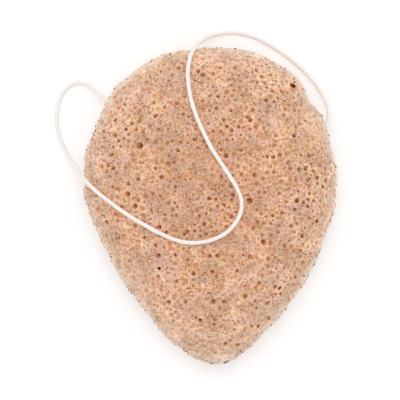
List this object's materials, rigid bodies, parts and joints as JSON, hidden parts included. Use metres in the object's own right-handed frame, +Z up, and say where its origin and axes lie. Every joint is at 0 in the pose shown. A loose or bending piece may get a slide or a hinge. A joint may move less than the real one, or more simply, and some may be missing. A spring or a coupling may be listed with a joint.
{
  "type": "exfoliating sponge",
  "caption": "Teardrop foam exfoliating sponge with a flat back, a puffed porous face and a thin hanging cord threaded through its wide end.",
  "frame": {"origin": "middle of the sponge's flat back", "axes": "+Y towards the wide end, -Y towards the point, +Z up through the puffed face, +X to the right seen from above"},
  "size_m": [0.0894, 0.1052, 0.0264],
  "materials": {
    "foam": "matte porous foam",
    "cotton": "matte twisted cotton"
  },
  "bodies": {
    "root": {"sponge": "foam", "hanging_cord": "cotton", "cord_knot": "cotton"}
  },
  "joints": []
}
